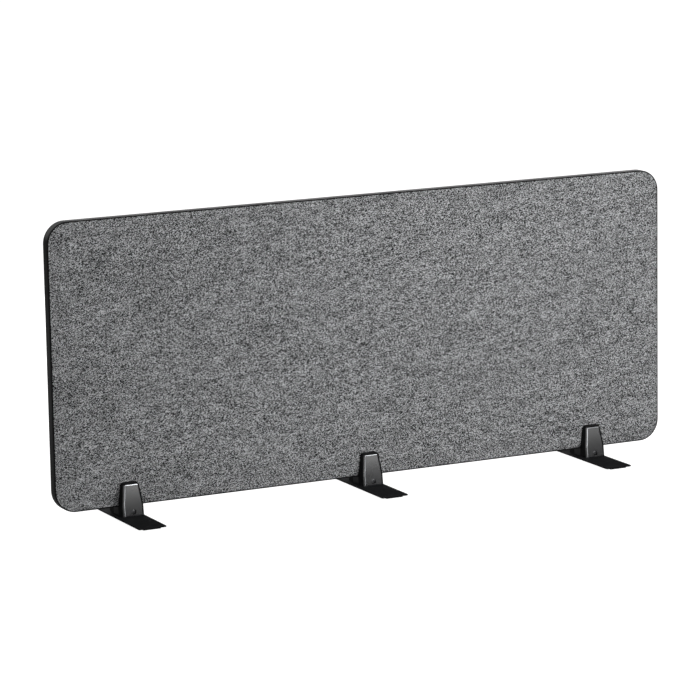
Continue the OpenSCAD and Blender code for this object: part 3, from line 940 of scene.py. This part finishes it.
# Width of the ring round the jaw's face that stays matt black as painted shade
JAW_MARGIN = 0.6 * MM
JAW_CHAMFER, JAW_RAISE = 1.5 * MM, 0.55 * MM
# Finishes of a jaw by slot: matt black as painted shade, bright steel as a painted highlight, and the satin
# face
JAW_FINISHES = (JAW_PAINTED_SHADE, JAW_PAINTED_HIGHLIGHT, JAW_PLASTIC)
PAINTED_SHADE, PAINTED_HIGHLIGHT, SATIN = range(3)


def jaw_face(height):
    """Distance of a jaw's outer face from the panel's middle plane."""
    return JAW_Y + JAW_BASE_D - (JAW_BASE_D - JAW_TOP_D) * height / JAW_H


def jaw_outline(side, foot_z, inset, radius, depth_at):
    """Adds one outline of the jaw to the piece in edit mode, as a single face drawn in above its kink."""
    top = PLATE_TOP + JAW_H - inset
    kink = PLATE_TOP + JAW_KINK
    bpy.ops.mesh.select_all(action="DESELECT")
    bpy.ops.mesh.primitive_plane_add(size=1, location=(0, side * depth_at(0), (foot_z + top) / 2),
                                     rotation=(QUARTER_TURN, 0, 0))
    bpy.ops.transform.resize(value=(2 * (JAW_BASE - inset), 1, top - foot_z))
    bpy.ops.mesh.bisect(plane_co=(0, 0, kink), plane_no=Z_AXIS)
    level = side * depth_at(0)
    pick("VERT", lambda corner: near(corner.co.y, level) and near(corner.co.z, top))
    bpy.ops.transform.resize(value=((JAW_TOP - inset) / (JAW_BASE - inset), 1, 1))
    pick("FACE", all_corners(lambda co: near(co.y, level)))
    bpy.ops.mesh.dissolve_faces()
    pick("VERT", lambda corner: near(corner.co.y, level) and near(corner.co.z, top))
    bpy.ops.mesh.bevel(offset=radius, segments=6, affect="VERTICES")
    mesh = bpy.context.object.data
    shape = bmesh.from_edit_mesh(mesh)
    for corner in shape.verts:
        if near(corner.co.y, level):
            corner.co.y = side * depth_at(corner.co.z - PLATE_TOP)
    bmesh.update_edit_mesh(mesh)


def jaw_form(name, side, foot_z):
    """A jaw: two outlines joined by its drafted sides, with softly rounded front edges."""
    deselect()
    bpy.ops.mesh.primitive_plane_add(size=MM, location=(0, 0, 0))
    piece = bpy.context.object
    piece.name = name
    bpy.ops.object.mode_set(mode="EDIT")
    pick_all()
    bpy.ops.mesh.delete(type="VERT")
    # Every face starts with the first finish, matt black painted shade, until raise_face repaints the face
    for finish in JAW_FINISHES:
        piece.data.materials.append(finish)
    jaw_outline(side, foot_z, 0, JAW_BACK_CORNER_R, lambda height: JAW_Y)
    jaw_outline(side, foot_z, JAW_DRAFT, JAW_FACE_CORNER_R, jaw_face)
    bpy.ops.mesh.select_mode(type="FACE")
    pick_all()
    bpy.ops.mesh.bridge_edge_loops()
    pick_all()
    bpy.ops.mesh.fill_holes(sides=0)
    tidy_shell()

    def on_face(co):
        return near(abs(co.y), jaw_face(co.z - PLATE_TOP))

    def on_back(co):
        return near(abs(co.y), JAW_Y)

    on_foot = all_corners(at_height(foot_z))
    for place, width, steps in ((on_face, JAW_FILLET, 8), (on_back, JAW_BACK_EASE, 2)):
        round_off(lambda edge: all_corners(place)(edge) and not on_foot(edge), width, steps)
    raise_face(piece, side, on_face)
    crown(side, foot_z)
    tidy_shell()
    bpy.ops.object.mode_set(mode="OBJECT")
    return piece


def crown(side, foot_z):
    """Cuts the jaw across in even steps and gives its outer face a slight belly."""
    slice_across(UP, foot_z, foot_z + JAW_H, CROWN_STEPS, pick_all)
    mesh = bpy.context.object.data
    shape = bmesh.from_edit_mesh(mesh)
    for corner in shape.verts:
        height = corner.co.z - PLATE_TOP
        share = height / JAW_H
        depth = (abs(corner.co.y) - JAW_Y) / (jaw_face(height) - JAW_Y)
        corner.co.y += side * JAW_CROWN * 4 * share * (1 - share) * depth
    bmesh.update_edit_mesh(mesh)


def paint_picked(piece, finish):
    """Gives the picked faces one of the piece's finishes, by its number."""
    piece.active_material_index = finish
    bpy.ops.object.material_slot_assign()


def raise_face(piece, side, on_face):
    """A chamfer with a painted highlight in bright steel leads up to the jaw's satin face, but on the
    right, as seen from in front of the jaw, it is painted shade in matt black, like the thin margin outside
    it.
    The rounded edge on the left is satin too; those on the right and above are painted shade in matt black."""
    # The thin margin ring left outside the first inset stays matt black, painted shade
    pick("FACE", all_corners(on_face))
    bpy.ops.mesh.inset(thickness=JAW_MARGIN)
    # The chamfer ring gets the bright steel finish, a painted highlight
    paint_picked(piece, PAINTED_HIGHLIGHT)
    bpy.ops.mesh.inset(thickness=JAW_CHAMFER, depth=JAW_RAISE)
    paint_picked(piece, SATIN)
    rim = PLATE_TOP + JAW_H - JAW_DRAFT - JAW_FILLET - JAW_MARGIN
    pick("FACE", lambda face: face.material_index == PAINTED_SHADE and face.normal.y * side > 0.25
         and face.normal.z < 0.45 and face.calc_center_median().z < rim
         and face.calc_center_median().x * side > 0)
    paint_picked(piece, SATIN)
    # The chamfer on the right is repainted matt black as painted shade
    pick("FACE", lambda face: face.material_index == PAINTED_HIGHLIGHT and face.normal.x * side < -0.2)
    paint_picked(piece, PAINTED_SHADE)


def jaws():
    """The fixed front jaw with the bolt head's recess, and the rear jaw with its nut slot and bores."""
    front = jaw_form("front_jaw", -1, PLATE_TOP)
    seat = foot_box("clamp_washer")[1].y
    outside, inside = -50 * MM, -10 * MM
    profile = [(0, outside), (HEAD_RECESS_R, outside), (HEAD_RECESS_R, seat), (CLEARANCE_R, seat),
               (CLEARANCE_R, inside), (0, inside)]
    recess = turned("recess", profile, (0, 0, BOLT_Z), Y_AXIS, 48)
    cut_away(front, recess, *screw_holes(JAW_SCREW_SPOTS, SCREW_PLAY))
    crisp(front, 19)
    fit_to_feet(front, "front_jaw", "front_jaw_cover", None)
    rear = jaw_form("rear_jaw", 1, foot_box("rear_jaw")[0].z)
    slot_half, slot_front, slot_back = 5.1 * MM, 19.9 * MM, 25.1 * MM
    nut_slot = start_from_block("nut_slot", (-slot_half, slot_front, 0),
                                (slot_half, slot_back, BOLT_Z + slot_half))
    cut_away(rear, nut_slot, bore(JAW_BORE_R, 10 * MM, 33.5 * MM), *pin_sockets(10 * MM, 32 * MM))
    crisp(rear, 19)
    fit_to_feet(rear, "rear_jaw", "rear_jaw_cover", None)


def liner_pad(node, word):
    """Rubber liner with eased edges, from the CAD solid's own outline."""
    pattern = moved_copy(frame["nodes"][f"middle_{node}"], f"liner_{word}", (-FOOT_X["middle"], 0, 0))
    pattern.parent = None
    for key in list(pattern.keys()):
        del pattern[key]
    pattern.hide_render = pattern.hide_viewport = False
    hold(pattern)
    bpy.ops.object.mode_set(mode="EDIT")
    pick_all()
    bpy.ops.mesh.remove_doubles(threshold=MERGE)
    bpy.ops.mesh.dissolve_limited(angle_limit=math.radians(1))
    apply_modifier(pattern, "BEVEL", width=LINER_EASE, segments=2, limit_method="ANGLE",
                   angle_limit=math.radians(40))
    smooth(pattern, 30)
    fit_to_feet(pattern, node, word, RUBBER)


def guide_pins():
    low, high = foot_box("guide_pins")
    y0, y1 = low.y / MM, high.y / MM
    profile = in_mm([(0, y0), (2.1, y0), (2.5, y0 + 0.5), (2.5, y1 - 1.2), (1.9, y1), (0, y1)])
    pins = joined([turned("pin", profile, (x, 0, BOLT_Z), Y_AXIS, 24) for x in (-PIN_X, PIN_X)], "pins")
    smooth(pins, 30)
    fit_to_feet(pins, "guide_pins", "pin_pair", ZINC)


def clamp_bolt():
    """The bolt before its thread is wound, a plain head with a hexagon socket, and its number of turns."""
    low, high = foot_box("clamp_bolt")
    y0, y1 = low.y / MM, high.y / MM
    head = [(0, y0), (4.3, y0), (4.7, y0 + 0.12), (4.92, y0 + 0.4), (5.0, y0 + 0.7), (5.0, y0 + 5.7),
            (4.8, y0 + 6.0), (3.3, y0 + 6.0), (THREAD_CREST, y0 + 6.3)]
    shank = [(THREAD_CREST, THREAD_START), (THREAD_ROOT, THREAD_START + 0.4), (THREAD_ROOT, y1 - 0.6),
             (THREAD_ROOT - 0.5, y1), (0, y1)]
    bolt = turned("bolt", in_mm(head + shank), (0, 0, BOLT_Z), Y_AXIS, 48)
    deselect()
    socket_r, socket_depth = 2.5 * MM / math.cos(math.radians(30)), 6 * MM
    bpy.ops.mesh.primitive_cylinder_add(vertices=6, radius=socket_r, depth=socket_depth,
                                        location=(0, low.y, BOLT_Z), rotation=(QUARTER_TURN, 0, 0))
    cut_away(bolt, bpy.context.object)
    return bolt, int((y1 - 1.2 - THREAD_START) / THREAD_PITCH)


def wound_thread(bolt, turns):
    """Winds the thread's section round the bolt, one pitch a turn."""
    inner = THREAD_ROOT - 0.15
    ridge = [(inner, -0.48), (THREAD_CREST, -0.08), (THREAD_CREST, 0.08), (inner, 0.48)]
    thread = start_from_line("thread", [Vector((radius * MM, (THREAD_START + 0.6 + along) * MM, BOLT_Z))
                                        for radius, along in ridge])
    bpy.ops.mesh.edge_face_add()
    steps = 20
    shape = bmesh.from_edit_mesh(thread.data)
    bmesh.ops.spin(shape, geom=list(shape.faces), cent=(0, 0, BOLT_Z), axis=Y_AXIS,
                   dvec=(0, THREAD_PITCH * MM / steps, 0), angle=FULL_TURN * turns, steps=steps * turns,
                   use_duplicate=False)
    bmesh.update_edit_mesh(thread.data)
    tidy_shell()
    bolt = joined([bolt, thread], "bolt")
    smooth(bolt, 30)
    fit_to_feet(bolt, "clamp_bolt", "socket_bolt", BOLT_STEEL)


def dress_hidden_nodes():
    """Materials of the CAD pieces whose own shape is kept."""
    for node in ("top_rail", "bottom_rail"):
        dress(frame["nodes"][node], PINE_LENGTHWAYS)
    for node in ("left_stile", "right_stile", "left_mullion", "right_mullion"):
        dress(frame["nodes"][node], PINE_UPRIGHT)
    dress(frame["nodes"]["frame_dowels"], BEECH_UPRIGHT)
    for side in SIDES:
        dress(frame["nodes"][f"{side}_clamp_washer"], ZINC)
        dress(frame["nodes"][f"{side}_clamp_nut"], ZINC)


photo_camera()
studio()
felt_facing(-1)
felt_facing(1)
edge_band_strip()
for bay in SIDES:
    absorber_slab(bay)
base_plate()
floor_pads()
fixing_screws()
saddle()
jaws()
liner_pad("front_liner", "front_liner_pad")
liner_pad("rear_liner", "rear_liner_pad")
guide_pins()
wound_thread(*clamp_bolt())
dress_hidden_nodes()
deselect()
